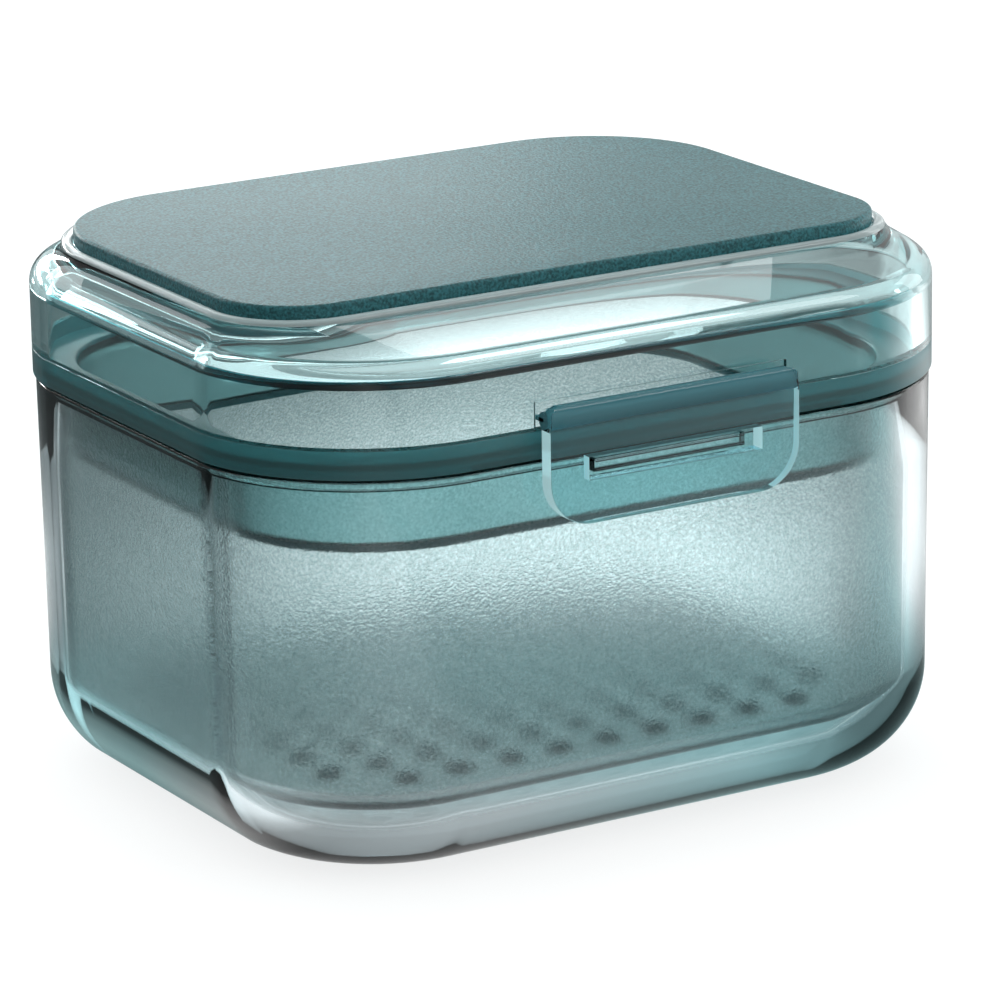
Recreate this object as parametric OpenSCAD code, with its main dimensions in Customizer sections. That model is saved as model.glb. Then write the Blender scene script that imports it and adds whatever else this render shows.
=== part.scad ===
// Denture case: a clear tank with a lift-out perforated basket, a hinged clear lid with a
// frosted top panel, and a clear front latch that clips on a bar of the lid.
// Millimetres. The front faces -Y, +Z is up and the case rests on z = 0.

/* [Outline] */
// overall width across the sides
body_w = 100; // [92:1:110]
// depth of the band, front to back
body_d = 83.8; // [78:0.2:92]
// radius of the four upright corners
corner_r = 24.5; // [20:0.5:28]
// angle of the upright crease where a corner meets its side
crease = 7.5; // [4:0.5:14]

/* [Tank] */
// height of the tank to its rim
tank_h = 50.1; // [46:0.1:58]
// thickness of the clear walls
wall = 2.2; // [1.8:0.1:2.6]
// thickness of the tank floor
floor_t = 3.4; // [2.4:0.1:4.4]
// outer rounding between wall and floor
base_r = 12; // [9:0.5:14]
// how far each wall leans in towards the base
draft = 0.4; // [0.2:0.1:0.8]
// how far the tank stands back from the band
rim_step = 0.35; // [0.2:0.05:0.5]

/* [Basket] */
// gap between tank wall and basket wall
basket_gap = 0.7; // [0.5:0.1:0.9]
// thickness of the basket wall and floor
basket_wall = 1.5; // [1.2:0.1:1.8]
// height of the basket's underside above the table
basket_z = 8.2; // [7:0.2:10]
// rounding between basket wall and floor
basket_r = 4; // [3:0.5:6]
// thickness of the basket's rim flange
flange_t = 1.4; // [1:0.1:1.8]
// diameter of the drain holes
hole_d = 3.4; // [2.6:0.2:4.2]
// spacing of the drain holes
hole_pitch = 6.8; // [6:0.2:8]

/* [Lid] */
// height of the coloured band
band_h = 3.5; // [3:0.1:4.5]
// gap between tank rim and band
seam = 0.3; // [0.25:0.05:0.4]
// height of the clear wall above the band
lid_wall_h = 7.8; // [6:0.2:10]
// rounding at the shoulder
shoulder_r = 3; // [2:0.2:4]
// height of the sloped border above the shoulder
bevel_h = 2.6; // [2:0.1:4]
// width of the sloped border at the sides
bevel_side = 5.1; // [4:0.1:7]
// width of the sloped border at the front
bevel_front = 15; // [10:0.2:16]
// width of the sloped border at the back
bevel_back = 6.2; // [4.6:0.2:8]
// radius of the top panel's front corners
panel_front_r = 10.4; // [8:0.2:16]
// radius of the top panel's back corners
panel_back_r = 19; // [12:0.5:22]
// thickness of the top panel
panel_t = 1.8; // [1.4:0.1:2.4]
// depth of the skirt below the band
skirt_h = 10.2; // [8:0.2:12]
// thickness of the skirt
skirt_t = 1.5; // [1.2:0.1:1.8]

/* [Latch] */
// width of the latch
latch_w = 34.4; // [30:0.2:38]
// height of the latch below its pivot
latch_drop = 12.8; // [12:0.2:14]
// thickness of the latch plate
latch_t = 2; // [1.8:0.1:2.2]
// radius of the two lower corners
latch_r = 5.5; // [4:0.5:7]
// width of the slot
slot_w = 24; // [20:0.2:26]
// height of the slot
slot_h = 2.8; // [2.6:0.1:3]
// width of the catch on the tank
catch_w = 21; // [16:0.2:22]
// thickness of the catch
catch_t = 1.7; // [1.4:0.1:1.8]
// radius of the bar that carries the latch
bar_r = 1.05; // [1:0.05:1.1]

/* [Hinge] */
// radius of the hinge knuckles
knuckle_r = 2; // [1.9:0.05:2.05]
// radius of the hinge pin
pin_r = 0.9; // [0.7:0.05:1]
// width of the lid's middle knuckle
knuckle_w = 18; // [12:0.5:24]
// width of each lug on the tank
lug_w = 9; // [6:0.5:12]

/* [Hidden] */
turn_gap = 0.3;        // clearance between knuckles, end to end
bar_gap = 0.08;        // running clearance of the latch on its bar
bore_gap = 0.05;       // running clearance of the pin in the lid's knuckle
press_gap = 0.02;      // clearance of the pin in the tank's lugs
fit = 0.2;             // clearance of a piece that is laid or glued in
corner_steps = 11;     // facets in each upright corner
half_w = body_w/2;
half_d = body_d/2;
rebate_z = tank_h - flange_t;
rim_lip = rim_step + 1.15;                  // offsets are measured inwards from the band
flange_off = rim_lip + fit;
tank_in = rim_step + wall;
basket_off = tank_in + basket_gap;
basket_in = basket_off + basket_wall;
basket_lean = 0.4;
band_z = tank_h + seam;
band_top = tank_h + seam + band_h;
deck_t = 1.5;                               // the band's inner deck, which carries the skirt
skirt_off = basket_in + 0.5;
skirt_lean = 0.95;
skirt_z = band_z - skirt_h;
seal_off = 1.1;
seal_w = 1.3;
seal_h = 1;
seal_gap = 0.1;
shoulder_z = band_top + lid_wall_h;
arc_end = 55;                               // the shoulder's rounding stops at this angle
rise_z = shoulder_z + shoulder_r*sin(arc_end);
deck_z = rise_z + bevel_h;                  // underside of the top panel
top_z = deck_z + panel_t;
ledge = 0.3;                                // clear border that shows round the panel
panel_edge = 0.5;                           // rounding of the panel's upper edge
front_y = -half_d - 3;                      // front face of the latch
latch_or = bar_r + bar_gap + 0.57;
bar_y = front_y + latch_or;
bar_z = band_top + 1.5;
latch_z = bar_z - latch_drop;
latch_back = front_y + latch_t;
catch_z = tank_h - catch_t - fit;           // the catch stays below the rim
slot_z = catch_z - 0.4;
catch_tip = latch_back - 0.6;
pocket_y = catch_tip - turn_gap;
tab_h = 3.4;
tab_y = -half_d + 0.5;                      // the tab stands back so that the latch can turn
tab_t = 1.5;
web_t = 0.5;
hinge_y = half_d + knuckle_r + 0.4;
hinge_z = tank_h + 1.8;
lug_x = knuckle_w/2 + turn_gap;

// One level outline: half width, front, back, front and back corner radius, crease, height.
function level(hw, y0, y1, rf, rb, c, z) = [
  for (q = [[1, 1, y1], [-1, 1, y1], [-1, -1, y0], [1, -1, y0]])
    for (k = [0:corner_steps])
      let (up = q[0]*q[1] > 0, r = q[1] > 0 ? rb : rf,
        a = c + (90 - c)*(up ? k : corner_steps - k)/corner_steps)
      [q[0]*(hw - r*cos(c) + r*cos(a)), q[2] + q[1]*(r*sin(a) - r), z]
];
// The outline at an inward offset from the band.
function inset(i, z) = level(half_w - i, i - half_d, half_d - i, corner_r - i,
  corner_r - i, crease, z);
// The outline of the top panel, moved in by i.
function panel(i, z) = level(half_w - bevel_side - i, bevel_front - half_d + i,
  half_d - bevel_back - i, panel_front_r - i, panel_back_r - i, 0.5, z);
// The sloped border at a share s of its way from shoulder to panel, moved in by i.
function slope(s, i, z) = [for (k = [0:len(inset(0, 0)) - 1])
  let (a = inset(shoulder_r*(1 - cos(arc_end)) + i, 0)[k], b = panel(i - ledge, 0)[k])
  [a[0] + (b[0] - a[0])*s, a[1] + (b[1] - a[1])*s, z]];

function side_faces(n, m, wrap) = [for (k = [0:m - (wrap ? 1 : 2)]) for (j = [0:n - 1])
  let (a = k*n, b = ((k + 1) % m)*n, i = (j + 1) % n)
  each [[a + j, b + j, b + i], [a + j, b + i, a + i]]];
// A closed skin over stacked outlines, capped at both ends.
module skin(rings) {
  n = len(rings[0]);
  m = len(rings);
  polyhedron(points = [for (r = rings) each r], convexity = 8,
    faces = concat([[for (j = [0:n - 1]) j]], side_faces(n, m, false),
      [[for (j = [n - 1:-1:0]) (m - 1)*n + j]]));
}
// A ring-shaped skin: the last outline joins the first.
module sleeve(rings) {
  polyhedron(points = [for (r = rings) each r], convexity = 8,
    faces = side_faces(len(rings[0]), len(rings), true));
}
// A side profile drawn in Y and Z, swept along X.
module along_x(x0, x1) {
  translate([x0, 0, 0]) rotate([90, 0, 90]) linear_extrude(x1 - x0) children();
}
// A front profile drawn in X and Z, swept along Y.
module along_y(y0, y1) {
  translate([0, y1, 0]) rotate([90, 0, 0]) linear_extrude(y1 - y0) children();
}
module dot(y, z, r) {
  translate([y, z]) circle(r = r, $fn = 48);
}

module tank() {
  lean = function (z) rim_step + draft*(1 - z/tank_h);
  in_r = base_r - wall;
  color([0.86, 0.94, 0.95, 0.3]) difference() {
    union() {
      skin(concat(
        [inset(lean(0) + base_r, 0)],
        [for (a = [9:9:90]) inset(lean(base_r*(1 - cos(a))) + base_r*(1 - sin(a)),
          base_r*(1 - cos(a)))],
        [inset(rim_step, tank_h), inset(rim_lip, tank_h), inset(rim_lip, rebate_z),
          inset(tank_in, rebate_z)],
        [for (a = [90:-10:0]) inset(tank_in + draft + in_r*(1 - sin(a)),
          floor_t + in_r*(1 - cos(a)))]));
      // lugs that carry the hinge pin
      for (s = [-1, 1])
        along_x(s > 0 ? lug_x : -lug_x - lug_w, s > 0 ? lug_x + lug_w : -lug_x) {
          dot(hinge_y, hinge_z, knuckle_r);
          polygon([[hinge_y - knuckle_r, hinge_z], [hinge_y - knuckle_r, tank_h - 0.3],
            [half_d - rim_step - 1, tank_h - 0.3], [half_d - rim_step - 1, tank_h - 8],
            [hinge_y + knuckle_r, hinge_z - 3.5], [hinge_y + knuckle_r, hinge_z]]);
        }
      // catch that sits in the latch's slot
      translate([-catch_w/2, catch_tip, catch_z])
        cube([catch_w, -half_d + rim_step + 0.8 - catch_tip, catch_t]);
    }
    along_x(-lug_x - lug_w - 1, lug_x + lug_w + 1) dot(hinge_y, hinge_z, pin_r + press_gap);
  }
}

module basket() {
  lean = function (z) basket_lean*(1 - z/tank_h);
  nx = floor((half_w - basket_off - basket_r - hole_d)/hole_pitch);
  ny = floor((half_d - basket_off - basket_r - hole_d)/hole_pitch);
  in_r = basket_r - basket_wall;
  color([0.42, 0.62, 0.63, 0.7]) difference() {
    skin(concat(
      [for (a = [0:15:90]) inset(basket_off + lean(basket_z) + basket_r*(1 - sin(a)),
        basket_z + basket_r*(1 - cos(a)))],
      [inset(basket_off, rebate_z), inset(flange_off, rebate_z), inset(flange_off, tank_h),
        inset(basket_in, tank_h)],
      [for (a = [90:-18:0]) inset(basket_in + lean(basket_z) + in_r*(1 - sin(a)),
        basket_z + basket_wall + in_r*(1 - cos(a)))]));
    for (i = [-nx:nx]) for (j = [-ny:ny])
      if (!(abs(i) > nx - 1 && abs(j) > ny - 1))
        translate([i*hole_pitch, j*hole_pitch, basket_z - 1])
          cylinder(d = hole_d, h = basket_wall + 2, $fn = 24);
  }
}

module hinge_pin() {
  color([0.75, 0.76, 0.78]) along_x(-lug_x - lug_w + 0.3, lug_x + lug_w - 0.3)
    dot(hinge_y, hinge_z, pin_r);
}

module lid_shell() {
  ceil_z = deck_z - 2;
  in_r = shoulder_r - 1.2;
  color([0.86, 0.94, 0.95, 0.3]) difference() {
    skin(concat(
      [slope(1, wall, ceil_z), slope(0, wall, rise_z - 1.9)],
      [for (a = [30:-15:0]) inset(wall + in_r*(1 - cos(a)), shoulder_z - 1 + in_r*sin(a))],
      [inset(wall, band_top), inset(0, band_top)],
      [for (a = [0:11:arc_end]) inset(shoulder_r*(1 - cos(a)),
        shoulder_z + shoulder_r*sin(a))],
      [slope(1, 0, deck_z)]));
    // notch for the tab behind the latch
    translate([-latch_w/2 - 0.4, -half_d - 1, band_top - 1])
      cube([latch_w + 0.8, wall + 1.1, tab_h + 1.2]);
  }
}

module top_panel() {
  color([0.47, 0.62, 0.63]) skin(concat([panel(0, deck_z)],
    [for (a = [0:30:90]) panel(panel_edge*(1 - cos(a)), top_z - panel_edge*(1 - sin(a)))]));
}

module lid_frame() {
  color([0.16, 0.36, 0.38]) difference() {
    union() {
      // band, level with the clear wall above it
      sleeve([inset(0, band_z), inset(0, band_top), inset(wall, band_top),
        inset(wall, band_z)]);
      // deck and plug skirt
      sleeve([inset(skirt_off + skirt_lean, skirt_z), inset(skirt_off, band_z + 0.01),
        inset(wall - 0.3, band_z), inset(wall - 0.3, band_z + deck_t),
        inset(skirt_off + skirt_t, band_z + deck_t),
        inset(skirt_off + skirt_lean + skirt_t, skirt_z)]);
      // tab, web and bar behind the latch
      translate([-latch_w/2 + 0.1, tab_y, band_top - 0.5])
        cube([latch_w - 0.2, tab_t, tab_h + 0.5]);
      along_x(-latch_w/2 + 0.1, latch_w/2 - 0.1) {
        dot(bar_y, bar_z, bar_r);
        translate([bar_y, bar_z - web_t/2]) square([tab_y + 0.2 - bar_y, web_t]);
      }
      // middle knuckle of the rear hinge
      along_x(-knuckle_w/2, knuckle_w/2) {
        dot(hinge_y, hinge_z, knuckle_r);
        translate([half_d - 1, hinge_z - 0.9]) square([hinge_y - half_d + 1, 2.6]);
      }
    }
    along_x(-knuckle_w/2 - 1, knuckle_w/2 + 1) dot(hinge_y, hinge_z, pin_r + bore_gap);
    // groove for the seal
    sleeve([inset(seal_off, band_z - 1), inset(seal_off, tank_h + seal_gap + seal_h),
      inset(seal_off + seal_w, tank_h + seal_gap + seal_h),
      inset(seal_off + seal_w, band_z - 1)]);
  }
}

module seal_ring() {
  color([0.6, 0.75, 0.76, 0.8]) sleeve([inset(seal_off, tank_h + seal_gap),
    inset(seal_off, tank_h + seal_gap + seal_h),
    inset(seal_off + seal_w, tank_h + seal_gap + seal_h),
    inset(seal_off + seal_w, tank_h + seal_gap)]);
}

module latch() {
  top_r = 1.3;
  top_z = bar_z + latch_or;
  color([0.8, 0.93, 0.94, 0.35]) difference() {
    intersection() {
      along_x(-latch_w/2, latch_w/2) difference() {
        union() {
          translate([front_y, latch_z]) square([latch_t, bar_z - latch_z]);
          dot(bar_y, bar_z, latch_or);
        }
        // the latch clips on the bar from the front and stays open behind
        translate([bar_y - 0.25, bar_z]) square([5, 5]);
        translate([latch_back, bar_z - 4]) square([5, 4.1]);
      }
      along_y(front_y - 1, -half_d) {
        translate([-latch_w/2, latch_z + latch_r]) square([latch_w, top_z - top_r - latch_z
          - latch_r]);
        translate([-latch_w/2 + latch_r, latch_z]) square([latch_w - 2*latch_r, latch_r]);
        translate([-latch_w/2 + top_r, top_z - top_r - 1]) square([latch_w - 2*top_r,
          top_r + 1]);
        for (s = [-1, 1]) {
          translate([s*(latch_w/2 - latch_r), latch_z + latch_r]) circle(r = latch_r, $fn = 96);
          translate([s*(latch_w/2 - top_r), top_z - top_r]) circle(r = top_r, $fn = 48);
        }
      }
    }
    along_x(-latch_w/2 - 1, latch_w/2 + 1) dot(bar_y, bar_z, bar_r + bar_gap);
    // slot for the catch, and the relief that passes over it
    translate([-slot_w/2, front_y - 1, slot_z]) cube([slot_w, latch_t + 2, slot_h]);
    translate([-slot_w/2, pocket_y, latch_z - 1])
      cube([slot_w, latch_back - pocket_y + 1, slot_z - latch_z + 1.5]);
  }
}

tank();
basket();
hinge_pin();
lid_shell();
top_panel();
lid_frame();
seal_ring();
latch();
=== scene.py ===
import math

import bmesh
import bpy
import numpy as np
from mathutils import Matrix, Vector


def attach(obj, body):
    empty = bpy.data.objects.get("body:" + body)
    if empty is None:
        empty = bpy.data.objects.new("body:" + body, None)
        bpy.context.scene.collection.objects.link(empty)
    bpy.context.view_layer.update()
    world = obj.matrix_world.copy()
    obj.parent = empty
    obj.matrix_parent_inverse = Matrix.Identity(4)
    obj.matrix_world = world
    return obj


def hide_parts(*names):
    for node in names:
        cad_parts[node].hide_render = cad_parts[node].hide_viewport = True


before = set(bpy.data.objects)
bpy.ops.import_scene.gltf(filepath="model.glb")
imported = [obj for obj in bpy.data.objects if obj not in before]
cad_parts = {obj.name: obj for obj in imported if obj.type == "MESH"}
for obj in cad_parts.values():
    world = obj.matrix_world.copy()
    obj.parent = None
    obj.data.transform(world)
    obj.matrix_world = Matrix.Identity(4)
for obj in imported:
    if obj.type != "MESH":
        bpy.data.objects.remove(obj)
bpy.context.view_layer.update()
rad = math.radians
MM = 0.001                           # a millimetre in the scene's metres

# ---------------------------------------------------------------- sizes, in millimetres
HALF_W, HALF_D = 50.0, 41.9          # half the band's width and depth
CORNER_R, CREASE = 24.5, 7.5         # upright corners, and the crease angle at each side
TANK_H, WALL, FLOOR_T = 50.1, 2.2, 3.4
BASE_R, DRAFT, RIM_STEP = 12.0, 0.4, 0.35
SPLIT_Z = 40.0                       # height at which a wall's straight part is split in two

# insets are measured inwards from the band
RIM_LIP, FLANGE_T, FIT = RIM_STEP + 1.15, 1.4, 0.2
REBATE_Z, TANK_IN = TANK_H - FLANGE_T, RIM_STEP + WALL
BASKET_OFF, BASKET_WALL, BASKET_Z = TANK_IN + 0.7, 1.5, 8.2
BASKET_R, BASKET_LEAN = 4.0, 0.4
BASKET_IN, FLANGE_OFF = BASKET_OFF + BASKET_WALL, RIM_LIP + FIT
HOLE_D, HOLE_PITCH = 3.4, 6.8

BAND_Z, BAND_TOP = TANK_H + 0.3, TANK_H + 3.8
DECK_T, SKIRT_T = 1.5, 1.5
SKIRT_OFF, SKIRT_LEAN, SKIRT_Z = BASKET_IN + 0.5, 0.95, BAND_Z - 10.2
EDGE_H, EDGE_LEAN = 1.0, 0.9         # the skirt's lower edge strip, painted dark as shade, and its share of the lean
GROOVE_OFF, GROOVE_W, GROOVE_H = 1.1, 1.3, 0.6

SHOULDER_Z, SHOULDER_R, ARC_END = BAND_TOP + 7.8, 3.0, 55.0
RISE_Z = SHOULDER_Z + SHOULDER_R * math.sin(rad(ARC_END))
DECK_Z = RISE_Z + 2.6
TOP_Z = DECK_Z + 1.8
BEVEL_SIDE, BEVEL_FRONT, BEVEL_BACK = 5.1, 15.0, 6.2
PANEL_FRONT_R, PANEL_BACK_R, PANEL_CREASE, PANEL_EDGE = 10.4, 19.0, 0.5, 0.5
LEDGE = 0.3                          # clear border that shows round the panel
LIP_R, LIP_H, LIP_DROP = 0.8, 0.6, 0.25      # the bead on that border
INNER_R = SHOULDER_R - 1.2           # inner corner of the lid's wall
INNER_Z, INNER_RISE_Z, CEIL_Z = SHOULDER_Z - 1, RISE_Z - 1.9, DECK_Z - 2
RECESS_W, RECESS_H, RECESS_D = 34.8, 3.4, 0.55

FRONT_Y = -HALF_D - 3.0              # front face of the latch
LATCH_T, BAR_R, LATCH_OR, BAR_GAP = 2.0, 1.05, 1.7, 0.08
BAR_Y, BAR_Z = FRONT_Y + LATCH_OR, BAND_TOP + 1.5
LATCH_W, LATCH_Z, LATCH_R, LATCH_TOP_R = 34.4, BAR_Z - 12.8, 5.5, 1.3
SLOT_W, SLOT_H, SLOT_Z = 24.0, 2.8, TANK_H - 2.3
BAR_END = LATCH_W / 2 - 0.1
TAB_Y, TAB_H, TAB_T, TAB_END = -HALF_D + 0.6, 2.1, 1.4, LATCH_W / 2 - 2
TAB_FOOT, WEB_T = 0.5, 0.5
CATCH_TIP, CATCH_ROOT = FRONT_Y + LATCH_T - 0.6, -HALF_D + RIM_STEP + 0.3
CATCH_Z, CATCH_W, CATCH_T = SLOT_Z + 0.4, 21.0, 1.7

HINGE_Y, HINGE_Z, KNUCKLE_R, KNUCKLE_END = HALF_D + 2.4, TANK_H + 1.8, 2.0, 9.0
LUG_NEAR, LUG_FAR = KNUCKLE_END + 0.3, KNUCKLE_END + 9.3
LUG_ROOT, LUG_DROP, LUG_FACE = HALF_D - RIM_STEP - 0.6, 8.0, 3.5
ARM_LOW, ARM_HIGH = 0.9, 1.7         # how far the knuckle's arm reaches below and above its axis

CORNER_STEPS, FLAT_STEPS = 40, 24    # fineness of an outline
RING = 4 * (CORNER_STEPS + FLAT_STEPS)       # points on one outline
CORNERS = ((1, 1), (-1, 1), (-1, -1), (1, -1))
KEEN = 35                            # an edge that turns by more degrees than this stays sharp


# ---------------------------------------------------------------- outlines and paths
def arc(a, b, n):
    """The n + 1 values from a to b in equal steps."""
    return [a + (b - a) * i / n for i in range(n + 1)]


def outline(hw, y0, y1, rf, rb, crease, z):
    """A closed level outline: four corner arcs joined by finely divided straight sides."""
    c = rad(crease)

    def on_corner(sx, sy, k):
        y, r = (y1, rb) if sy > 0 else (y0, rf)
        t = k if sx * sy > 0 else CORNER_STEPS - k
        a = c + (math.pi / 2 - c) * t / CORNER_STEPS
        return (sx * (hw - r * math.cos(c) + r * math.cos(a)),
                y + sy * (r * math.sin(a) - r), z)

    pts = []
    for q, corner in enumerate(CORNERS):
        pts += [on_corner(*corner, k) for k in range(CORNER_STEPS + 1)]
        start, end = pts[-1], on_corner(*CORNERS[(q + 1) % 4], 0)
        pts += [tuple(s + (e - s) * k / FLAT_STEPS for s, e in zip(start, end))
                for k in range(1, FLAT_STEPS)]
    return np.array(pts)


def inset(i, z):
    """The case's outline at an inward offset from the band."""
    return outline(HALF_W - i, i - HALF_D, HALF_D - i, CORNER_R - i, CORNER_R - i, CREASE, z)


def panel(i, z):
    """The top panel's outline, moved in by i."""
    return outline(HALF_W - BEVEL_SIDE - i, BEVEL_FRONT - HALF_D + i, HALF_D - BEVEL_BACK - i,
                   PANEL_FRONT_R - i, PANEL_BACK_R - i, PANEL_CREASE, z)


def slope(s, i, z):
    """The sloped border at a share s of its way from shoulder to panel, moved in by i."""
    a = inset(SHOULDER_R * (1 - math.cos(rad(ARC_END))) + i, 0)
    b = panel(i - LEDGE, 0)
    out = a + (b - a) * s
    out[:, 2] = z
    return out


def leaning(off, amount, z):
    """An inset that grows towards the base, by amount over the tank's height."""
    return off + amount * (1 - z / TANK_H)


def bowl(off, z, r, a0, a1, n):
    """The round between floor and wall as (inset, z) points: angle 0 is the floor."""
    return [(off + r * (1 - math.sin(rad(a))), z + r * (1 - math.cos(rad(a))))
            for a in arc(a0, a1, n)]


def shoulder(off, z, r, a0, a1, n):
    """Outlines round a shoulder: angle 0 is the wall."""
    return [inset(off + r * (1 - math.cos(rad(a))), z + r * math.sin(rad(a)))
            for a in arc(a0, a1, n)]


def circle(y, z, r, a0=0.0, a1=360.0, n=40):
    """Points on an arc in the plane of Y and Z."""
    return [(y + r * math.cos(rad(a)), z + r * math.sin(rad(a))) for a in arc(a0, a1, n)]


def rounded(path, radius, steps=4):
    """Rounds the corners of a path of (inset, z) points; radius is one value per point."""
    out = []
    for k, p in enumerate(path):
        r = radius[k]
        if not r or k in (0, len(path) - 1):
            out.append(tuple(p))
            continue
        p = np.array(p, float)
        a, b = np.array(path[k - 1], float) - p, np.array(path[k + 1], float) - p
        la, lb = np.linalg.norm(a), np.linalg.norm(b)
        a, b = a / la, b / lb
        half = math.acos(max(-1, min(1, float(a @ b)))) / 2
        t = min(r / math.tan(half), la * 0.49, lb * 0.49)      # the side is never used up
        rr = t * math.tan(half)
        centre = p + (a + b) / np.linalg.norm(a + b) * rr / math.sin(half)
        s, e = p + a * t - centre, p + b * t - centre
        sweep = math.pi - 2 * half
        for q in range(steps + 1):
            w = q / steps
            v = (s * math.sin((1 - w) * sweep) + e * math.sin(w * sweep)) / math.sin(sweep)
            out.append(tuple(centre + v))
    return out


# ---------------------------------------------------------------- meshes
def build(name, verts, faces, sharp=()):
    """A smooth-shaded mesh object in metres, with the listed edges kept sharp."""
    mesh = bpy.data.meshes.new(name)
    mesh.from_pydata((np.asarray(verts) * MM).tolist(), [], faces)
    mesh.validate()
    bm = bmesh.new()
    bm.from_mesh(mesh)
    bmesh.ops.recalc_face_normals(bm, faces=bm.faces)
    bm.to_mesh(mesh)
    bm.free()
    mesh.shade_smooth()
    keys = {frozenset(e) for e in sharp}
    for e in mesh.edges:
        if frozenset(e.vertices) in keys:
            e.use_edge_sharp = True
    obj = bpy.data.objects.new(name, mesh)
    bpy.context.scene.collection.objects.link(obj)
    return obj


def loft(name, rings, hard=(), caps=True):
    """A skin over stacked outlines. hard lists the rings that are real edges."""
    n, m = len(rings[0]), len(rings)
    faces, sharp = [], []
    for k in range(m - 1 if caps else m):
        a, b = k * n, (k + 1) % m * n
        for j in range(n):
            i = (j + 1) % n
            faces.append((a + j, a + i, b + i, b + j))
    if caps:
        faces.append(tuple(range(n - 1, -1, -1)))
        faces.append(tuple((m - 1) * n + j for j in range(n)))
    for k in hard:
        k %= m
        sharp += [(k * n + j, k * n + (j + 1) % n) for j in range(n)]
    return build(name, np.concatenate(rings), faces, sharp)


def profile(name, pts, x0, x1, soft=0.0):
    """A side profile of (y, z) points swept along X. soft is the width of its rounded edges."""
    n = len(pts)
    verts = [(x, y, z) for x in (x0, x1) for y, z in pts]
    faces = [(j, (j + 1) % n, n + (j + 1) % n, n + j) for j in range(n)]
    faces += [tuple(range(n - 1, -1, -1)), tuple(range(n, 2 * n))]
    obj = build(name, verts, faces)
    obj.data.set_sharp_from_angle(angle=rad(KEEN))
    if soft:
        m = obj.modifiers.new("soft_edges", "BEVEL")
        m.width, m.segments, m.limit_method, m.angle_limit = soft * MM, 3, "ANGLE", rad(KEEN)
    return obj


def block(name, y0, y1, z0, z1, x0, x1, soft=0.0):
    """A profile that is a plain rectangle."""
    return profile(name, [(y0, z0), (y1, z0), (y1, z1), (y0, z1)], x0, x1, soft)


def pierced(obj, holes, radius, steps=20):
    """Opens the two flat caps of a capped loft with round holes and lines each hole."""
    bm = bmesh.new()
    bm.from_mesh(obj.data)
    caps = sorted((f for f in bm.faces if len(f.verts) == RING),
                  key=lambda f: f.calc_center_median().z)
    rims = []
    for cap in caps[:1] + caps[-1:]:
        z = cap.verts[0].co.z
        edges = list(cap.edges)
        bm.faces.remove(cap)
        circles = []
        for x, y in holes:
            turns = [2 * math.pi * k / steps for k in range(steps)]
            ring = [bm.verts.new(((x + radius * math.cos(a)) * MM,
                                  (y + radius * math.sin(a)) * MM, z)) for a in turns]
            edges += [bm.edges.new((ring[k], ring[(k + 1) % steps])) for k in range(steps)]
            circles.append(ring)
        rims.append(circles)
        bmesh.ops.triangle_fill(bm, use_beauty=True, edges=edges)
    for low, high in zip(*rims):
        for k in range(steps):
            i = (k + 1) % steps
            bm.faces.new((low[i], low[k], high[k], high[i]))
    bmesh.ops.recalc_face_normals(bm, faces=bm.faces)
    for ring in rims[0] + rims[1]:
        for k in range(steps):
            bm.edges.get((ring[k], ring[(k + 1) % steps])).smooth = False
    for f in bm.faces:
        f.smooth = True
    bm.to_mesh(obj.data)
    bm.free()


def carve(obj, low, high):
    """Cuts a box, given by two corners in millimetres, out of a mesh."""
    (x0, y0, z0), (x1, y1, z1) = low, high
    corners = [(x, y, z) for x in (x0, x1) for y in (y0, y1) for z in (z0, z1)]
    cutter = build("cutter", corners, [(0, 1, 3, 2), (4, 6, 7, 5), (0, 4, 5, 1),
                                       (2, 3, 7, 6), (0, 2, 6, 4), (1, 5, 7, 3)])
    cut = obj.modifiers.new("cut", "BOOLEAN")
    cut.operation, cut.solver, cut.object = "DIFFERENCE", "EXACT", cutter
    shape = obj.evaluated_get(bpy.context.evaluated_depsgraph_get())
    mesh = bpy.data.meshes.new_from_object(shape)
    mesh.set_sharp_from_angle(angle=rad(60))     # the cut's own edges turn by 90 degrees
    obj.modifiers.clear()
    obj.data = mesh
    bpy.data.objects.remove(cutter)


# ---------------------------------------------------------------- materials
def add(tree, kind, **values):
    """A new shader node with the given settings."""
    n = tree.nodes.new(kind)
    for k, v in values.items():
        setattr(n, k, v)
    return n


def material(name, colour, rough=0.5, metal=0.0, trans=0.0, ior=1.49, spec=0.5):
    mat = bpy.data.materials.new(name)
    mat.use_nodes = True
    p = mat.node_tree.nodes["Principled BSDF"]
    p.inputs["Base Color"].default_value = (*colour, 1)
    p.inputs["Roughness"].default_value = rough
    p.inputs["Metallic"].default_value = metal
    p.inputs["Transmission Weight"].default_value = trans
    p.inputs["IOR"].default_value = ior
    p.inputs["Specular IOR Level"].default_value = spec
    mat.diffuse_color = (*colour, 1)
    return mat


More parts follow.
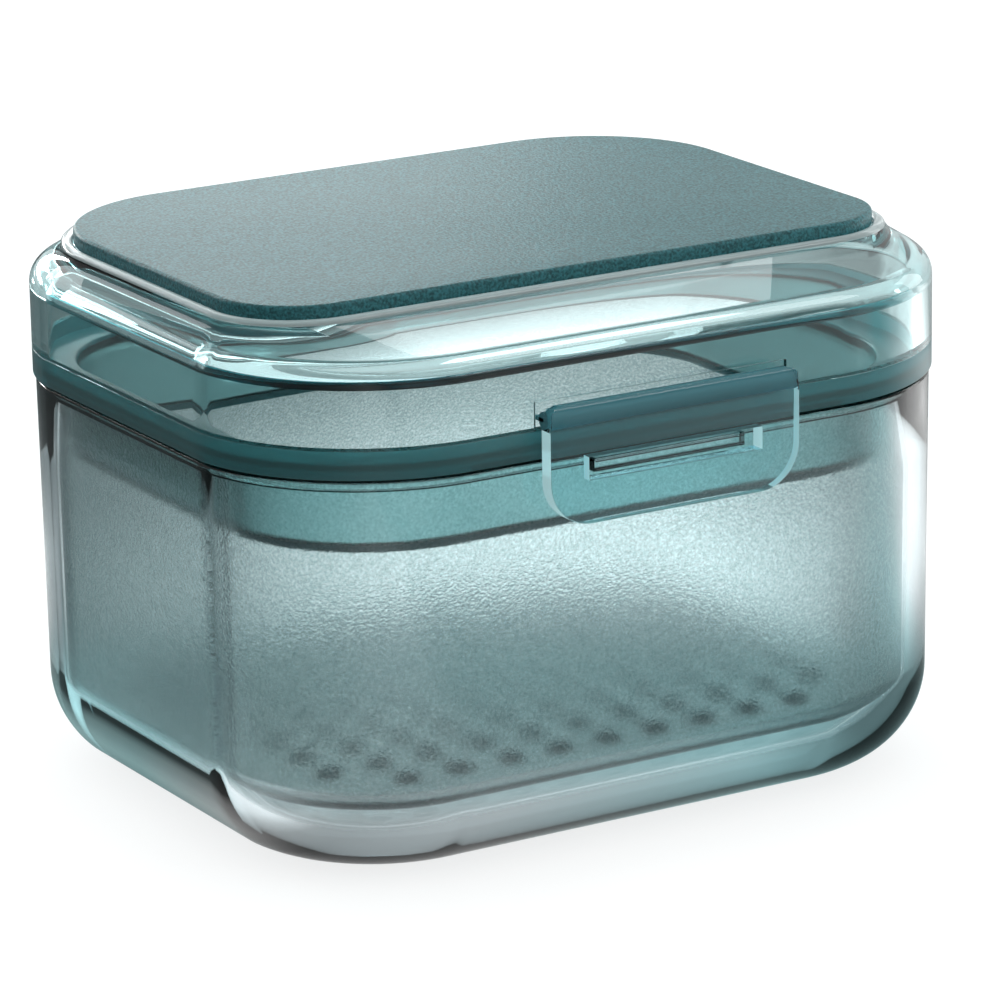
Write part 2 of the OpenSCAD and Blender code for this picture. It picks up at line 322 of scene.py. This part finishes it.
def grain(mat, strength, spread=0.0):
    """A fine moulded grain: a bump, and a speckle that varies the colour by spread."""
    t = mat.node_tree
    p = t.nodes["Principled BSDF"]
    co = add(t, "ShaderNodeTexCoord")
    noise = add(t, "ShaderNodeTexNoise")
    noise.inputs["Scale"].default_value = 3000
    noise.inputs["Detail"].default_value = 2
    bump = add(t, "ShaderNodeBump")
    bump.inputs["Strength"].default_value = strength
    bump.inputs["Distance"].default_value = 0.2 * MM
    t.links.new(co.outputs["Object"], noise.inputs["Vector"])
    t.links.new(noise.outputs["Fac"], bump.inputs["Height"])
    t.links.new(bump.outputs["Normal"], p.inputs["Normal"])
    if spread:
        ramp = add(t, "ShaderNodeValToRGB")
        base = p.inputs["Base Color"].default_value[:3]
        for e, at, k in zip(ramp.color_ramp.elements, (0.35, 0.65), (1 - spread, 1 + spread)):
            e.position, e.color = at, (*(min(1, c * k) for c in base), 1)
        t.links.new(noise.outputs["Fac"], ramp.inputs[0])
        t.links.new(ramp.outputs["Color"], p.inputs["Base Color"])


def tinted(mat, through, wall, shadow=None):
    """Colours a plastic by its depth: through is what a wall this many mm thick lets pass,
    and shadow is the colour of light that falls straight through it."""
    t = mat.node_tree
    out = t.nodes["Material Output"]
    absorb = add(t, "ShaderNodeVolumeAbsorption")
    loss = [-math.log(v) / (wall * MM) for v in through]
    dense = max(loss) * 1.05
    absorb.inputs["Color"].default_value = (*(1 - v / dense for v in loss), 1)
    absorb.inputs["Density"].default_value = dense
    t.links.new(absorb.outputs[0], out.inputs["Volume"])
    if shadow:
        mix = add(t, "ShaderNodeMixShader")
        clear = add(t, "ShaderNodeBsdfTransparent")
        clear.inputs["Color"].default_value = (*shadow, 1)
        ray = add(t, "ShaderNodeLightPath")
        t.links.new(ray.outputs["Is Shadow Ray"], mix.inputs[0])
        t.links.new(t.nodes["Principled BSDF"].outputs[0], mix.inputs[1])
        t.links.new(clear.outputs[0], mix.inputs[2])
        t.links.new(mix.outputs[0], out.inputs["Surface"])


CLEAR = material("clear", (0.98, 0.99, 0.99), rough=0.0, trans=1.0)
tinted(CLEAR, (0.92, 0.95, 0.96), 2.2, (0.92, 0.96, 0.96))
LID_CLEAR = material("lid_clear", (0.97, 0.99, 0.99), rough=0.0, trans=1.0)
tinted(LID_CLEAR, (0.86, 0.955, 0.96), 2.2, (0.88, 0.95, 0.95))
# painted shade: a darker clear plastic on the lid's inner corner draws the dark line seen under the
# shoulder
LID_PAINTED_SHADE_LINE = material("lid_inner_corner_painted_shade", (0.30, 0.50, 0.53), rough=0.0, trans=1.0)
tinted(LID_PAINTED_SHADE_LINE, (0.86, 0.955, 0.96), 2.2)
FROST = material("frost", (0.82, 0.94, 0.94), rough=0.17, trans=0.93, ior=1.35)
tinted(FROST, (0.92, 0.94, 0.94), 1.5)
PANEL = material("panel", (0.07, 0.33, 0.37), rough=0.4, trans=0.45, ior=1.45, spec=0.3)
tinted(PANEL, (0.50, 0.70, 0.72), 1.8)
BAND = material("band", (0.28, 0.76, 0.80), rough=0.33, trans=0.85, ior=1.45, spec=0.3)
tinted(BAND, (0.47, 0.72, 0.74), 1.5)
BAR = material("bar", (0.13, 0.38, 0.44), rough=0.5, trans=0.35, ior=1.45, spec=0.25)
tinted(BAR, (0.42, 0.70, 0.74), 1.5)
# painted light: the skirt gets a paler copy of the band's plastic, as if lit through from behind
SKIRT = material("skirt", (0.80, 0.96, 0.96), rough=0.33, trans=1.0, ior=1.45, spec=0.3)
tinted(SKIRT, (0.55, 0.78, 0.79), 1.5)
# painted shade: a dark opaque strip along the skirt's lower edge stands in for the shade seen at its
# end
SKIRT_EDGE_PAINTED_SHADE = material("skirt_edge_painted_shade", (0.08, 0.22, 0.24), rough=0.35)
# painted shade: the walls of the basket's holes are dark so that the holes read as dark dots
HOLE_PAINTED_SHADE = material("hole_wall_painted_shade", (0.04, 0.16, 0.18), rough=0.3)
# painted highlight: the bead round the panel is a pale, part-diffuse plastic so that it reads as a
# white line
RIM_PAINTED_HIGHLIGHT = material("lid_rim_painted_highlight", (0.78, 0.92, 0.93), rough=0.12, trans=0.35)
LATCH = material("latch_clear", (0.97, 0.99, 0.99), rough=0.0, trans=1.0)
tinted(LATCH, (0.82, 0.965, 0.985), 2.0, (0.9, 0.97, 0.97))
LATCH_EDGE_PAINTED_GLOW = material("latch_edge_painted_glow", (0.62, 0.95, 0.98), rough=0.2, trans=0.25)
# painted highlight: the plate's side edges are pale cyan and glow of their own, standing in for
# light piped through the plate
edge_glow = LATCH_EDGE_PAINTED_GLOW.node_tree.nodes["Principled BSDF"]
edge_glow.inputs["Emission Color"].default_value = (0.62, 0.95, 1.0, 1)
edge_glow.inputs["Emission Strength"].default_value = 0.35
# painted shade: the clip's bore round the bar is a dull dark teal instead of clear, standing in for
# the shade round the bar
LATCH_BORE_PAINTED_SHADE = material("latch_bore_painted_shade", (0.10, 0.31, 0.36), rough=0.5, spec=0.1)
SEAL = material("seal", (0.30, 0.48, 0.49), rough=0.45, trans=0.3)
STEEL = material("steel", (0.62, 0.63, 0.65), rough=0.3, metal=1.0)
grain(FROST, 0.28, 0.2)
grain(PANEL, 0.5, 0.5)
grain(BAND, 0.10)


def paint(obj, *mats):
    """Gives an object its materials; the first is on every face until others are picked."""
    obj.data.materials.clear()
    for mat in mats:
        obj.data.materials.append(mat)


def dress(obj, mats, body, node):
    """Materials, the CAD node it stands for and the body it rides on."""
    paint(obj, *mats)
    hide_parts(node)
    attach(obj, body)


# ---------------------------------------------------------------- tank
path = [(leaning(RIM_STEP, DRAFT, z) + i, z) for i, z in bowl(0, 0, BASE_R, 0, 90, 24)]
path += rounded([(leaning(RIM_STEP, DRAFT, SPLIT_Z), SPLIT_Z), (RIM_STEP, TANK_H),
                 (RIM_LIP, TANK_H), (RIM_LIP, REBATE_Z), (TANK_IN, REBATE_Z),
                 (TANK_IN + 0.1, SPLIT_Z)], [0, 0.4, 0.25, 0.2, 0.3, 0])
path += bowl(TANK_IN + DRAFT, FLOOR_T, BASE_R - WALL, 90, 0, 20)
tank = loft("tank_clear", [inset(i, z) for i, z in path])
dress(tank, [CLEAR], "base", "tank")

# ---------------------------------------------------------------- basket
path = bowl(leaning(BASKET_OFF, BASKET_LEAN, BASKET_Z), BASKET_Z, BASKET_R, 0, 90, 12)
path += rounded([(BASKET_OFF + 0.1, SPLIT_Z), (BASKET_OFF, REBATE_Z), (FLANGE_OFF, REBATE_Z),
                 (FLANGE_OFF, TANK_H), (BASKET_IN, TANK_H), (BASKET_IN + 0.1, SPLIT_Z)],
                [0, 0.3, 0.2, 0.3, 0.4, 0])
path += bowl(leaning(BASKET_IN, BASKET_LEAN, BASKET_Z), BASKET_Z + BASKET_WALL,
             BASKET_R - BASKET_WALL, 90, 0, 10)
basket = loft("basket_frosted", [inset(i, z) for i, z in path])
nx = math.floor((HALF_W - BASKET_OFF - BASKET_R - HOLE_D) / HOLE_PITCH)
ny = math.floor((HALF_D - BASKET_OFF - BASKET_R - HOLE_D) / HOLE_PITCH)
pierced(basket, [(i * HOLE_PITCH, j * HOLE_PITCH)
                 for i in range(-nx, nx + 1) for j in range(-ny, ny + 1)
                 if not (abs(i) == nx and abs(j) == ny)], HOLE_D / 2)
dress(basket, [FROST, HOLE_PAINTED_SHADE], "base", "basket")
# the holes' walls take the painted shade
for f in basket.data.polygons:
    if abs(f.normal.z) < 0.1 and BASKET_Z < f.center.z / MM < BASKET_Z + BASKET_WALL:
        f.material_index = 1

# ---------------------------------------------------------------- lid
rings = [slope(1, WALL, CEIL_Z), slope(0, WALL, INNER_RISE_Z)]
corner_row = len(rings)
rings += shoulder(WALL, INNER_Z, INNER_R, 30, 0, 6)
wall_row = len(rings)
rings += [inset(WALL, BAND_TOP), inset(0, BAND_TOP)]
rings += shoulder(0, SHOULDER_Z, SHOULDER_R, 0, ARC_END, 14)
rings += [slope(s, 0, RISE_Z + (DECK_Z - RISE_Z) * s) for s in (0.06, 0.35, 0.62)]
bead_row = len(rings)
rings += [slope(1, LEDGE - LIP_R * (1 + math.cos(rad(a))),
                DECK_Z - LIP_DROP + LIP_H * math.sin(rad(a))) for a in arc(0, 180, 10)]
bead_end = len(rings) - 1
rings += [slope(1, 0.6, DECK_Z - LIP_DROP)]
lid = loft("lid_clear_shell", rings, hard=(wall_row, wall_row + 1))
dress(lid, [LID_CLEAR, RIM_PAINTED_HIGHLIGHT, LID_PAINTED_SHADE_LINE], "lid", "lid_shell")
for k, f in enumerate(lid.data.polygons):
    row = k // RING
    # the bead's faces take the painted highlight
    if bead_row <= row < bead_end:
        f.material_index = 1
    # the faces round the inner corner take the painted dark line
    elif corner_row <= row < wall_row - 1:
        f.material_index = 2
# a shallow recess lets the latch swing past the wall
carve(lid, (-RECESS_W / 2, -HALF_D - 1, BAND_TOP - 1),
      (RECESS_W / 2, RECESS_D - HALF_D, BAND_TOP + RECESS_H))

rings = [panel(0, DECK_Z)]
rings += [panel(PANEL_EDGE * (1 - math.cos(rad(a))), TOP_Z - PANEL_EDGE * (1 - math.sin(rad(a))))
          for a in arc(0, 90, 6)]
top = loft("top_frosted_panel", rings, hard=(0,))
dress(top, [PANEL], "lid", "top_panel")

# ---------------------------------------------------------------- lid frame
edge_off, edge_z = SKIRT_OFF + SKIRT_LEAN * EDGE_LEAN, SKIRT_Z + EDGE_H
path = [  # (inset, z) and the radius of the corner
    ((WALL, BAND_Z + DECK_T), 0), ((WALL, BAND_TOP), 0), ((0, BAND_TOP), 0.12),
    ((0, BAND_Z), 0.2),
    ((GROOVE_OFF, BAND_Z), 0), ((GROOVE_OFF, BAND_Z + GROOVE_H), 0),
    ((GROOVE_OFF + GROOVE_W, BAND_Z + GROOVE_H), 0), ((GROOVE_OFF + GROOVE_W, BAND_Z), 0),
    ((SKIRT_OFF, BAND_Z), 0.5), ((edge_off, edge_z), 0),
    ((SKIRT_OFF + SKIRT_LEAN, SKIRT_Z), 0.4), ((SKIRT_OFF + SKIRT_LEAN + SKIRT_T, SKIRT_Z), 0.4),
    ((edge_off + SKIRT_T, edge_z), 0), ((SKIRT_OFF + SKIRT_T, BAND_Z + DECK_T), 0.5),
    ((WALL, BAND_Z + DECK_T), 0)]
path = rounded([p for p, r in path], [r for p, r in path])[:-1]
band = loft("band_and_skirt", [inset(i, z) for i, z in path[::-1]], hard=(-1, -2), caps=False)
dress(band, [BAND, SKIRT, SKIRT_EDGE_PAINTED_SHADE], "lid", "lid_frame")
for f in band.data.polygons:
    z = f.center.z / MM
    # faces below edge_z take the painted shade strip, and the skirt above it takes its paler,
    # painted-lit copy of the band's plastic
    f.material_index = 2 if z < edge_z else 1 if z < BAND_Z - 0.5 else 0

tab = block("latch_tab", TAB_Y, TAB_Y + TAB_T, BAND_TOP - TAB_FOOT, BAND_TOP + TAB_H,
            -TAB_END, TAB_END, 0.25)
bar = profile("latch_bar", circle(BAR_Y, BAR_Z, BAR_R)[:-1], -BAR_END, BAR_END)
web = block("bar_web", BAR_Y, TAB_Y + 0.2, BAR_Z - WEB_T / 2, BAR_Z + WEB_T / 2,
            -BAR_END, BAR_END)
knuckle = profile("hinge_knuckle", circle(HINGE_Y, HINGE_Z, KNUCKLE_R)[:-1],
                  -KNUCKLE_END, KNUCKLE_END, 0.15)
arm = block("knuckle_arm", HALF_D - 1, HINGE_Y, HINGE_Z - ARM_LOW, HINGE_Z + ARM_HIGH,
            -KNUCKLE_END, KNUCKLE_END)
for piece, mat in ((tab, BAR), (bar, BAR), (web, BAR), (knuckle, BAND), (arm, BAND)):
    dress(piece, [mat], "lid", "lid_frame")

# ---------------------------------------------------------------- lugs and catch of the tank
for x0, x1 in ((-LUG_FAR, -LUG_NEAR), (LUG_NEAR, LUG_FAR)):
    lug = profile("hinge_lug", circle(HINGE_Y, HINGE_Z, KNUCKLE_R, 0, 180, 24)
                  + [(HINGE_Y - KNUCKLE_R, TANK_H - 0.3), (LUG_ROOT, TANK_H - 0.3),
                     (LUG_ROOT, TANK_H - LUG_DROP), (HINGE_Y + KNUCKLE_R, HINGE_Z - LUG_FACE)],
                  x0, x1, 0.2)
    dress(lug, [CLEAR], "base", "tank")
catch = block("latch_catch", CATCH_TIP, CATCH_ROOT, CATCH_Z, CATCH_Z + CATCH_T,
              -CATCH_W / 2, CATCH_W / 2, 0.2)
dress(catch, [CLEAR], "base", "tank")


# ---------------------------------------------------------------- latch
def half_width(z):
    """Half the latch's width at a height: round lower corners and small upper ones."""
    low, high = LATCH_Z + LATCH_R - z, z - (BAR_Z + LATCH_OR - LATCH_TOP_R)
    w = LATCH_W / 2
    if low > 0:
        w -= LATCH_R - math.sqrt(max(0, LATCH_R ** 2 - low ** 2))
    if high > 0:
        w -= LATCH_TOP_R - math.sqrt(max(0, LATCH_TOP_R ** 2 - high ** 2))
    return w


# the side profile: up the front, round the claw and its bore, and down the back
levels = [LATCH_Z + LATCH_R * (1 - math.cos(rad(a))) for a in arc(0, 84, 13)]
S0, S1 = len(levels), len(levels) + 1        # the slot's lower and upper rows
levels += [SLOT_Z, SLOT_Z + SLOT_H, BAR_Z - 1.15]
claw = circle(FRONT_Y + 0.6, BAR_Z + LATCH_OR - 0.6, 0.6, 180, 90, 8)
claw += [(BAR_Y - 0.2, BAR_Z + LATCH_OR)]
claw += circle(BAR_Y, BAR_Z, BAR_R + BAR_GAP, 100, 280, 20)
walk = ([(FRONT_Y, z) for z in levels] + claw
        + [(FRONT_Y + LATCH_T, z) for z in levels[::-1]])

# each point of the profile is a row of vertices across the latch, as shares of its half width
open_w = SLOT_W / LATCH_W
columns = [-1, -0.5 - open_w / 2] + [open_w * k / 4 for k in range(-4, 5)]
columns += [0.5 + open_w / 2, 1]
C0, C1 = 2, len(columns) - 3                 # the slot's end columns
M, N, K = len(columns), len(walk), len(levels)
verts = [(c * half_width(z), y, z) for y, z in walk for c in columns]


def strip(row, other, j):
    """A face between two rows, from column j to the next."""
    a, b = row * M, other * M
    return (a + j, a + j + 1, b + j + 1, b + j)


faces = [strip(i, (i + 1) % N, j) for i in range(N) for j in range(M - 1)
         if not (i in (S0, N - 2 - S0) and C0 <= j < C1)]
for j in (0, M - 1):
    faces += [tuple(r * M + j for r in (k, k + 1, N - 2 - k, N - 1 - k)) for k in range(K - 1)]
    faces.append(tuple(r * M + j for r in range(K - 1, N - K + 1)))
faces += [strip(k, N - 1 - k, j) for k in (S0, S1) for j in range(C0, C1)]
faces += [tuple(r * M + j for r in (S0, S1, N - 1 - S1, N - 1 - S0)) for j in (C0, C1)]
latch = build("latch_clip", verts, faces)
latch.data.set_sharp_from_angle(angle=rad(KEEN))

# only the plate's edges on its two faces are softened
bm = bmesh.new()
bm.from_mesh(latch.data)
weight = bm.edges.layers.float.new("bevel_weight_edge")
for e in bm.edges:
    if max(v.co.z for v in e.verts) >= (BAR_Z - 1) * MM or e.calc_face_angle(0) <= rad(KEEN):
        continue
    for y in (FRONT_Y, FRONT_Y + LATCH_T):
        if all(abs(v.co.y / MM - y) < 1e-3 for v in e.verts):
            e[weight] = 1
bm.to_mesh(latch.data)
bm.free()
soft = latch.modifiers.new("soft_edges", "BEVEL")
soft.width, soft.segments, soft.limit_method = 0.3 * MM, 3, "WEIGHT"
dress(latch, [LATCH, LATCH_EDGE_PAINTED_GLOW, LATCH_BORE_PAINTED_SHADE], "latch", "latch")
for f in latch.data.polygons:
    y, z = f.center.y / MM, f.center.z / MM
    # the bore's faces take the painted shade
    if math.hypot(y - BAR_Y, z - BAR_Z) < BAR_R + 0.1 and abs(f.normal.x) < 0.1:
        f.material_index = 2
    # the plate's side faces take the painted glowing edge
    if (abs(f.normal.x) > 0.3 and abs(f.normal.y) < 0.5 and z < BAR_Z + LATCH_OR - 0.1
            and len(f.vertices) == 4):
        f.material_index = 1

# ---------------------------------------------------------------- pieces shown as the CAD has them
for name, mat, slot in (("seal_ring", SEAL, "seal_silicone"), ("hinge_pin", STEEL, "pin_steel")):
    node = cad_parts[name]
    paint(node, mat)

# ---------------------------------------------------------------- stage
scene = bpy.context.scene
scene.view_settings.view_transform = "Standard"
scene.cycles.max_bounces = scene.cycles.transmission_bounces = 20

# the camera sees a white room, and the object soft lobes of light
world = bpy.data.worlds.new("studio")
scene.world = world
world.use_nodes = True
nt = world.node_tree
nt.nodes.clear()
white = add(nt, "ShaderNodeBackground")
white.inputs["Color"].default_value = (1, 1, 1, 1)
white.inputs["Strength"].default_value = 1.0
room = add(nt, "ShaderNodeBackground")
room.inputs["Color"].default_value = (0.98, 1.0, 1.0, 1)
co = add(nt, "ShaderNodeTexCoord")


def lobe(direction, strength):
    """A soft lobe of light; its brightness falls to nothing 60 degrees off its direction."""
    dot = add(nt, "ShaderNodeVectorMath", operation="DOT_PRODUCT")
    dot.inputs[1].default_value = Vector(direction).normalized()
    level = add(nt, "ShaderNodeMapRange")
    level.inputs["From Min"].default_value = 0.5
    level.inputs["To Max"].default_value = strength
    nt.links.new(co.outputs["Generated"], dot.inputs[0])
    nt.links.new(dot.outputs["Value"], level.inputs["Value"])
    return level.outputs["Result"]


total = lobe((0, 0, 1), 0.45)
for direction, strength in (((0.49, 0.83, 0.28), 0.8), ((-0.49, 0.83, 0.28), 0.3),
                            ((-1, 0, 0.1), 0.3), ((0, -1, 0.2), 0.4), ((1, 0, 0.1), 0.5)):
    plus = add(nt, "ShaderNodeMath", operation="ADD")
    nt.links.new(total, plus.inputs[0])
    nt.links.new(lobe(direction, strength), plus.inputs[1])
    total = plus.outputs[0]
nt.links.new(total, room.inputs["Strength"])
ray = add(nt, "ShaderNodeLightPath")
mix = add(nt, "ShaderNodeMixShader")
nt.links.new(ray.outputs["Is Camera Ray"], mix.inputs[0])
nt.links.new(room.outputs[0], mix.inputs[1])
nt.links.new(white.outputs[0], mix.inputs[2])
nt.links.new(mix.outputs[0], add(nt, "ShaderNodeOutputWorld").inputs[0])


def lamp(name, size, at, target, power):
    """A rectangular area lamp; sizes and places in metres, power in watts."""
    data = bpy.data.lights.new(name, "AREA")
    data.shape = "RECTANGLE"
    data.size, data.size_y = size
    data.energy = power
    obj = bpy.data.objects.new(name, data)
    obj.location = at
    obj.rotation_euler = (Vector(target) - Vector(at)).to_track_quat("-Z", "Y").to_euler()
    scene.collection.objects.link(obj)


lamp("softbox_key", (0.3, 0.3), (0.45, -0.45, 0.70), (0, 0, 0.05), 0.9)
lamp("softbox_bevel", (0.55, 0.16), (0.28, 0.69, 0.62), (0, 0, 0.06), 0.38)
lamp("softbox_right", (0.25, 0.4), (0.75, 0.05, 0.22), (0, 0, 0.04), 0.6)
lamp("softbox_back", (0.9, 0.12), (0.02, 0.78, 0.42), (0, 0, 0.07), 0.7)
lamp("softbox_low", (0.5, 0.1), (-0.05, 0.90, 0.20), (0, 0, 0.07), 2.0)
lamp("softbox_patch", (0.02, 0.03), (-0.102, 0.72, 0.46), (0, 0, 0.06), 0.02)
lamp("softbox_near", (0.10, 0.03), (0.075, 0.21, 0.128), (0.0, 0.03, 0.067), 0.035)

FLOOR_HALF, FLOOR_Z = 3000, -0.05    # in millimetres
floor = build("floor", [(sx * FLOOR_HALF, sy * FLOOR_HALF, FLOOR_Z)
                        for sx, sy in ((-1, -1), (1, -1), (1, 1), (-1, 1))], [(0, 1, 2, 3)])
ground = material("ground", (0.07, 0.11, 0.115), rough=0.9)
floor.data.materials.append(ground)
gt = ground.node_tree
p = gt.nodes["Principled BSDF"]

# to the camera the floor is white, and to the plastic it is light behind and dull in front
seen = add(gt, "ShaderNodeLightPath")
where = add(gt, "ShaderNodeTexCoord")
SPAN = 0.6                           # metres of floor that a slide covers, centred on the case


def slide(direction, *stops):
    """A brightness or colour that follows the floor along a direction; stops are (metres, value)."""
    along = add(gt, "ShaderNodeVectorMath", operation="DOT_PRODUCT")
    along.inputs[1].default_value = (*direction, 0)
    scale = add(gt, "ShaderNodeMath", operation="MULTIPLY_ADD")
    scale.inputs[1].default_value, scale.inputs[2].default_value = 1 / SPAN, 0.5
    ramp = add(gt, "ShaderNodeValToRGB")
    while len(ramp.color_ramp.elements) < len(stops):
        ramp.color_ramp.elements.new(0.5)
    for e, (at, v) in zip(ramp.color_ramp.elements, stops):
        e.position, e.color = at / SPAN + 0.5, (*(v if isinstance(v, tuple) else (v, v, v)), 1)
    gt.links.new(where.outputs["Object"], along.inputs[0])
    gt.links.new(along.outputs["Value"], scale.inputs[0])
    gt.links.new(scale.outputs[0], ramp.inputs[0])
    return ramp.outputs["Color"]


def both(operation, a, b):
    n = add(gt, "ShaderNodeMath", operation=operation)
    gt.links.new(a, n.inputs[0])
    gt.links.new(b, n.inputs[1])
    return n.outputs[0]


AWAY, ACROSS = (0.55, 0.83), (0.83, -0.55)   # away from the photographer, and to the right
patches = [  # each is a product of two slides
    (slide(AWAY, (-0.05, 0.48), (-0.01, 0.55), (0.02, 1.2), (0.04, 1.3), (0.08, 2.9),
           (0.12, 1.3), (0.14, 1.2), (0.18, 0.5), (0.22, 0.4)),
     slide(ACROSS, (-0.16, 0.03), (-0.10, 0.10), (-0.06, 0.3), (-0.03, 0.62), (0.0, 1.0),
           (0.035, 1.0), (0.05, 0.3), (0.07, 0.1))),
    (slide(ACROSS, (0.075, 0.0), (0.105, 0.45)),
     slide((0, 1), (-0.07, 0.6), (-0.03, 1.0))),
    (slide((1, 0), (-0.058, 0.0), (-0.055, 0.9), (-0.048, 0.9), (-0.043, 0.0)),
     slide((0, 1), (-0.05, 0.0), (-0.03, 1.0), (0.03, 1.0), (0.07, 0.0))),
    (slide((1, 0), (0.07, 0.0), (0.11, 0.5), (0.17, 0.5), (0.22, 1.6)),
     slide((0, 1), (-0.10, 0.5), (-0.04, 1.0), (0.05, 1.0), (0.10, 0.0)))]
glow = None
for a, b in patches:
    patch = both("MULTIPLY", a, b)
    glow = both("ADD", glow, patch) if glow else patch
# painted light: under the case the floor's light, as the plastic sees it, is teal, standing in for
# light coloured by passing through the case
teal, plain = (0.6, 0.98, 1.0), (1.0, 1.0, 1.0)
tint = slide(AWAY, (-0.04, plain), (-0.015, teal), (0.02, teal), (0.05, plain))

# the camera's white floor keeps a soft shadow where the case stands
contact = add(gt, "ShaderNodeAmbientOcclusion")
contact.inputs["Distance"].default_value = 0.02
fade = add(gt, "ShaderNodeMath", operation="MULTIPLY_ADD")
fade.inputs[1].default_value, fade.inputs[2].default_value = 0.2, 0.8
gt.links.new(contact.outputs["AO"], fade.inputs[0])
pick = add(gt, "ShaderNodeMix")
gt.links.new(seen.outputs["Is Camera Ray"], pick.inputs["Factor"])
gt.links.new(glow, pick.inputs["A"])
gt.links.new(fade.outputs[0], pick.inputs["B"])
gt.links.new(pick.outputs["Result"], p.inputs["Emission Strength"])
hue = add(gt, "ShaderNodeMix", data_type="RGBA")
hue.inputs[7].default_value = (1, 1, 1, 1)
gt.links.new(seen.outputs["Is Camera Ray"], hue.inputs["Factor"])
gt.links.new(tint, hue.inputs[6])
gt.links.new(hue.outputs[2], p.inputs["Emission Color"])

# camera solved from the outlines of the case in the photo
AZ, EL, ROLL, DIST = rad(-30.49), rad(16.189), rad(-1.012), 0.68388
FOCAL, PIXELS, SENSOR = 5486.9, 990, 36      # focal length in pixels, frame, sensor in mm
target = Vector((0.00168, 0, 0.033024))
back = Vector((math.sin(AZ) * math.cos(EL), -math.cos(AZ) * math.cos(EL), math.sin(EL)))
right = (-back).cross(Vector((0, 0, 1))).normalized()
up = right.cross(-back)
right, up = (math.cos(ROLL) * right + math.sin(ROLL) * up,
             -math.sin(ROLL) * right + math.cos(ROLL) * up)
cam_data = bpy.data.cameras.new("photo_view")
cam_data.sensor_width = SENSOR
cam_data.lens = FOCAL / PIXELS * SENSOR
cam_data.clip_start = 0.01
cam = bpy.data.objects.new("photo_view", cam_data)
scene.collection.objects.link(cam)
turn = Matrix((right, up, back)).transposed().to_4x4()
cam.matrix_world = Matrix.Translation(target + back * DIST) @ turn
scene.camera = cam
